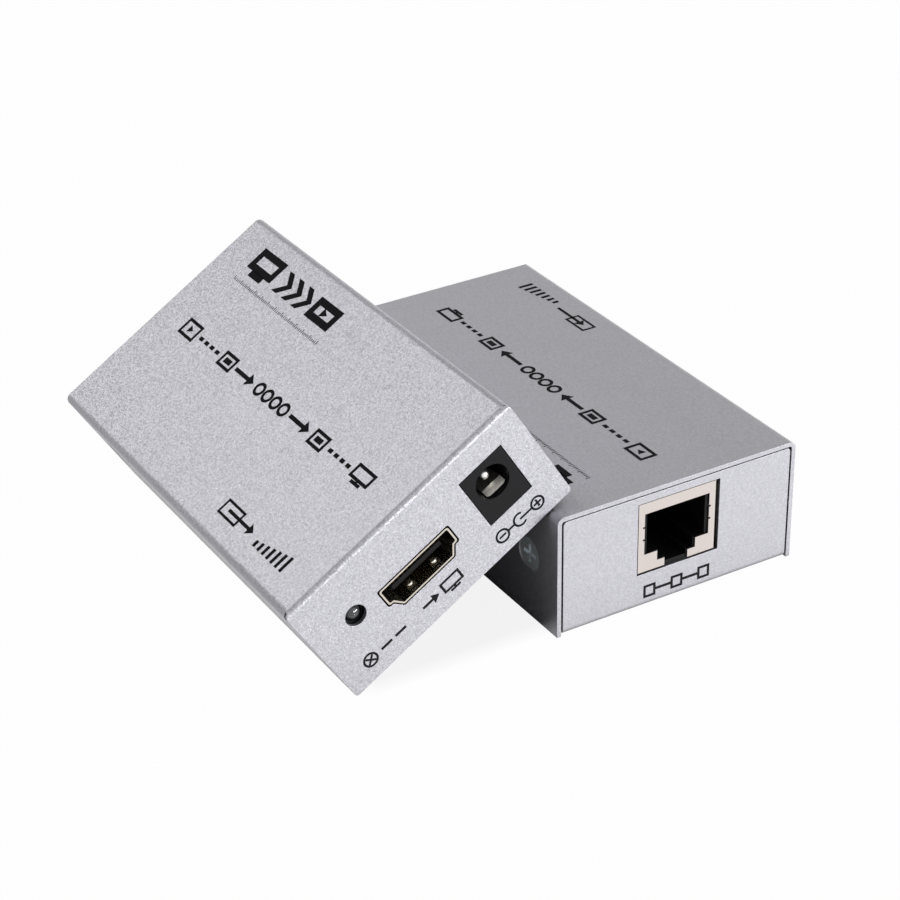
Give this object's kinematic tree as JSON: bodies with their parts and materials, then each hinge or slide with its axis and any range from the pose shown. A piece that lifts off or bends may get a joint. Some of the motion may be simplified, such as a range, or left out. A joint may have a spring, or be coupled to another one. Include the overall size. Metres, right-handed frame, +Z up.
{
  "type": "hdmi extender",
  "caption": "Small sheet-metal video extender boxes, a transmitter leaning on a receiver, each with video, power and network sockets and a status lamp",
  "frame": {"origin": "centre of the receiver's bottom, on the ground", "axes": "+Z up; +X from the receiver's video end to its network end; the transmitter leans on the receiver's -Y long edge with its video end at +X"},
  "size_m": [0.088, 0.0967, 0.0447],
  "materials": {
    "silver_paint": "fine metallic silver paint, satin",
    "screw_steel": "zinc plated steel",
    "board": "green solder mask, satin",
    "standoff_brass": "turned brass",
    "shell_plating": "plated shell with a warm tint",
    "shield_plating": "tin plated shield with a warm tint",
    "black_plastic": "moulded black plastic",
    "contact_gold": "gold plated contacts",
    "tinned_metal": "tinned metal",
    "spring_metal": "plated spring bronze",
    "lamp_lens": "smoky clear lens, unlit",
    "chip_epoxy": "dark moulded epoxy",
    "ferrite": "dark ferrite",
    "can_aluminium": "drawn aluminium can",
    "ceramic": "fired ceramic with tinned ends"
  },
  "bodies": {
    "transmitter": {"transmitter_cover": "silver_paint", "transmitter_base": "silver_paint", "transmitter_side_screws": "screw_steel", "transmitter_board": "board", "transmitter_standoffs": "standoff_brass", "transmitter_board_screws": "screw_steel", "transmitter_video_shell": "shell_plating", "transmitter_video_insulator": "black_plastic", "transmitter_video_contacts": "contact_gold", "transmitter_power_housing": "black_plastic", "transmitter_power_pin": "tinned_metal", "transmitter_power_tags": "tinned_metal", "transmitter_network_shield": "shield_plating", "transmitter_network_housing": "black_plastic", "transmitter_network_pins": "contact_gold", "transmitter_lamp": "lamp_lens", "transmitter_lamp_holder": "black_plastic", "transmitter_lamp_leads": "tinned_metal", "transmitter_processor": "chip_epoxy", "transmitter_link_chip": "chip_epoxy", "transmitter_chip_legs": "tinned_metal", "transmitter_transformer": "chip_epoxy", "transmitter_inductor": "ferrite", "transmitter_can_capacitors": "can_aluminium", "transmitter_crystal": "tinned_metal", "transmitter_regulator": "chip_epoxy", "transmitter_chip_capacitors": "ceramic", "transmitter_resistors": "chip_epoxy"},
    "transmitter_power_spring_body": {"transmitter_power_spring": "spring_metal"},
    "transmitter_network_wires_body": {"transmitter_network_wires": "contact_gold"},
    "receiver": {"receiver_cover": "silver_paint", "receiver_base": "silver_paint", "receiver_side_screws": "screw_steel", "receiver_board": "board", "receiver_standoffs": "standoff_brass", "receiver_board_screws": "screw_steel", "receiver_video_shell": "shell_plating", "receiver_video_insulator": "black_plastic", "receiver_video_contacts": "contact_gold", "receiver_power_housing": "black_plastic", "receiver_power_pin": "tinned_metal", "receiver_power_tags": "tinned_metal", "receiver_network_shield": "shield_plating", "receiver_network_housing": "black_plastic", "receiver_network_pins": "contact_gold", "receiver_lamp": "lamp_lens", "receiver_lamp_holder": "black_plastic", "receiver_lamp_leads": "tinned_metal", "receiver_processor": "chip_epoxy", "receiver_link_chip": "chip_epoxy", "receiver_chip_legs": "tinned_metal", "receiver_transformer": "chip_epoxy", "receiver_inductor": "ferrite", "receiver_can_capacitors": "can_aluminium", "receiver_crystal": "tinned_metal", "receiver_regulator": "chip_epoxy", "receiver_chip_capacitors": "ceramic", "receiver_resistors": "chip_epoxy"},
    "receiver_power_spring_body": {"receiver_power_spring": "spring_metal"},
    "receiver_network_wires_body": {"receiver_network_wires": "contact_gold"}
  },
  "joints": [
    {"name": "transmitter_lift", "type": "slide", "parent": "receiver", "child": "transmitter", "axis": [0, 0, 1], "range_m": [0, 0.06]},
    {"name": "transmitter_power_spring_hinge", "type": "hinge", "parent": "transmitter", "child": "transmitter_power_spring_body", "pos_m": [0.031, -0.03247, 0.02836], "axis": [0, 0.848, 0.53], "range_deg": [0, 8], "stiffness_Nm_per_rad": 0.02},
    {"name": "transmitter_network_wires_hinge", "type": "hinge", "parent": "transmitter", "child": "transmitter_network_wires_body", "pos_m": [-0.0429, -0.04924, 0.02802], "axis": [0, -0.848, -0.53], "range_deg": [0, 10], "stiffness_Nm_per_rad": 0.02},
    {"name": "receiver_power_spring_hinge", "type": "hinge", "parent": "receiver", "child": "receiver_power_spring_body", "pos_m": [-0.034, -0.0147, 0.00909], "axis": [0, -1, 0], "range_deg": [0, 8], "stiffness_Nm_per_rad": 0.02},
    {"name": "receiver_network_wires_hinge", "type": "hinge", "parent": "receiver", "child": "receiver_network_wires_body", "pos_m": [0.0399, -0.0003, 0.01769], "axis": [0, 1, 0], "range_deg": [0, 10], "stiffness_Nm_per_rad": 0.02}
  ]
}
